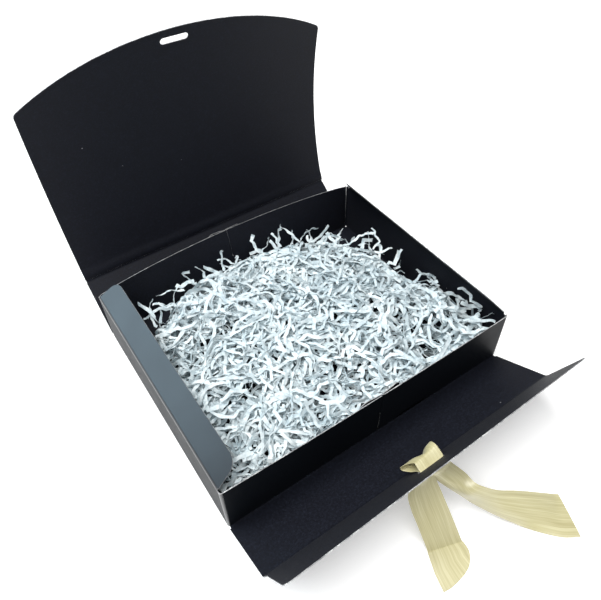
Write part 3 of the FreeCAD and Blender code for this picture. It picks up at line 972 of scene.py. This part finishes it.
def shred_path(rng, p, ang, length, loose):
    """A crimped strip: short straight runs joined by sharp kinks."""
    step = 1.9
    n = int(length / step)
    pitch = rng.normal(0, 0.3)
    pts = []
    left = rng.uniform(3, 9)
    zig = 1.0 if rng.random() < 0.5 else -1.0
    curl = rng.normal(0, 0.05)
    for i in range(n):
        left -= step
        if left <= 0:
            left = rng.uniform(3.0, 10.0)
            zig = -zig
            ang += zig * abs(rng.normal(0.35, 0.45)) + rng.normal(0, 0.15)
            pitch = rng.normal(0, 0.34) + (0.10 if loose else 0.0)
            if rng.random() < 0.3:
                curl = rng.normal(0, 0.09)
        ang += curl
        d = np.array([math.cos(ang) * math.cos(pitch), math.sin(ang) * math.cos(pitch), math.sin(pitch)])
        q = p + d * step
        lim = limit_z(q[0], q[1])
        if not loose:
            lim = min(top_at(q[0], q[1]) + 3.2, lim)
        if q[2] > lim:
            q[2] = lim - rng.uniform(0, 0.4)
            pitch = -abs(pitch) * 0.6
        if q[2] < 1.8:
            q[2] = 1.8 + rng.uniform(0, 0.4)
            pitch = abs(pitch) * 0.5
        if abs(q[0]) > 121.5 or q[1] < -97.3 or q[1] > 96.5:
            q[0] = min(max(q[0], -121.5), 121.5)
            q[1] = min(max(q[1], -97.3), 96.5)
            ang += rng.uniform(0.6, 1.4) * (1 if rng.random() < 0.5 else -1)
        if not loose and top_at(q[0], q[1]) < 6 and rng.random() < 0.5:
            ang += 0.8
        p = q
        pts.append(p.copy())
    return np.array(pts)


def make_shreds(count, seed):
    rng = np.random.default_rng(seed)
    verts, faces = [], []
    base_i = 0
    made = 0
    rim = [(-92, 58), (-76, 72), (-52, 82), (-30, 84), (-8, 84), (12, 82), (30, 78), (46, 74), (58, 68), (70, 58), (80, 48), (90, 38), (98, 26), (100, 10), (100, -4), (104, -18), (112, -28), (117, -44), (117, -58), (115, -72), (110, -84), (64, 64), (86, 42), (96, 30)]
    while made < count:
        loose = made < 75
        if loose:
            c = rim[made % len(rim)]
            x, y = c[0] + rng.normal(0, 4), c[1] + rng.normal(0, 4) - 3
            x, y = min(max(x, -119), 118), min(max(y, -97), 94)
            z = min(46.0, max(top_at(x, y), 30.0) + rng.uniform(-4, 5))
            out = math.atan2(c[1] + 10, c[0] + 5)
            ang = out + rng.normal(0, 1.0)
            length = rng.uniform(15, 36)
        else:
            x, y = rng.uniform(-119, 118), rng.uniform(-97, 94)
            ht = top_at(x, y)
            if ht < 10:
                continue
            lvl = rng.random()
            # most strips lie in the upper layer, where they show
            z = ht - (abs(rng.normal(0, 4.0)) + 0.3 if lvl < 0.80 else rng.uniform(6, 22))
            z = max(z, 2.0)
            ang = rng.uniform(0, 2 * math.pi)
            length = rng.uniform(26, 84)
        g = shred_path(rng, np.array([x, y, z]), ang, length, loose)
        if len(g) < 7:
            continue
        n = len(g)
        tw = rng.normal(0, 0.55) + np.cumsum(rng.normal(0, 0.13, n)) + rng.normal(0, 0.05) * np.arange(n)
        tg = np.gradient(g, axis=0)
        tg /= np.maximum(np.linalg.norm(tg, axis=1), 1e-9)[:, None]
        side = np.cross(tg, np.array([0.0, 0, 1.0]))
        side /= np.maximum(np.linalg.norm(side, axis=1), 1e-6)[:, None]
        nrm = np.cross(side, tg)
        c, s = np.cos(tw)[:, None], np.sin(tw)[:, None]
        sd = side * c + nrm * s
        nn = -side * s + nrm * c
        wid = rng.uniform(1.9, 3.1)
        wv = (wid / 2 * (1 + 0.12 * np.sin(np.arange(n) * 1.3 + rng.uniform(0, 6))))[:, None]
        g = g + nn * (rng.uniform(0.1, 0.55) * np.where(np.sin(np.arange(n) * rng.uniform(0.9, 1.6) + rng.uniform(0, 6)) > 0, 1.0, -1.0))[:, None]
        cup = 0.30 * rng.uniform(-1, 1)
        th = 0.08
        a = g - sd * wv
        b = g + sd * wv
        m = g + nn * cup
        block = np.stack([a + nn * th, m + nn * th, b + nn * th, b - nn * th, m - nn * th, a - nn * th], 1)
        block[..., 2] = np.clip(block[..., 2], 0.75, None)
        over = np.array([limit_z(v[0], v[1]) for v in g])[:, None] + 0.3
        block[..., 2] = np.minimum(block[..., 2], over + nn[:, None, 2] * np.array([1, 1, 1, -1, -1, -1])[None, :] * th)
        block[..., 0] = np.clip(block[..., 0], -123.9, 123.9)
        block[..., 1] = np.clip(block[..., 1], -98.6, 98.4)
        verts.append(block.reshape(-1, 3))
        i = np.arange(n - 1)[:, None]
        j = np.arange(6)[None, :]
        j2 = (j + 1) % 6
        faces.append(np.stack([base_i + i * 6 + j, base_i + (i + 1) * 6 + j, base_i + (i + 1) * 6 + j2, base_i + i * 6 + j2], -1).reshape(-1, 4))
        e0 = base_i
        e1 = base_i + (n - 1) * 6
        faces.append(np.array([[e0, e0 + 1, e0 + 4, e0 + 5], [e0 + 1, e0 + 2, e0 + 3, e0 + 4],
                               [e1 + 5, e1 + 4, e1 + 1, e1], [e1 + 4, e1 + 3, e1 + 2, e1 + 1]]))
        base_i += n * 6
        made += 1
    v = np.concatenate(verts) * MM
    f = np.concatenate(faces)
    me = bpy.data.meshes.new("shredded_paper")
    me.vertices.add(len(v))
    me.vertices.foreach_set("co", v.astype(np.float32).ravel())
    me.loops.add(len(f) * 4)
    me.loops.foreach_set("vertex_index", f.astype(np.int32).ravel())
    me.polygons.add(len(f))
    me.polygons.foreach_set("loop_start", np.arange(0, len(f) * 4, 4, dtype=np.int32))
    me.polygons.foreach_set("loop_total", np.full(len(f), 4, dtype=np.int32))
    me.polygons.foreach_set("use_smooth", np.ones(len(f), dtype=bool))
    me.update(calc_edges=True)
    me.validate()
    me.materials.append(M_SHRED)
    me.set_sharp_from_angle(angle=rad(40))
    ob = bpy.data.objects.new("shredded_paper", me)
    bpy.context.scene.collection.objects.link(ob)
    return ob


shreds = make_shreds(1420, 11)
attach(shreds, "tray")
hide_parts("shredded_paper_fill")

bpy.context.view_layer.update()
# the standing walls pick up less of the bright table than the flaps do of the sky
M_WALL = card_outer("black_satin_walls", 0.10, 0.0, 0.42)
for wall in bpy.data.objects:
    if wall.type == "MESH" and ("_side_wall" in wall.name or "_end_panel_" in wall.name):
        for k, mat in enumerate(wall.data.materials):
            if mat == M_OUT:
                wall.data.materials[k] = M_WALL
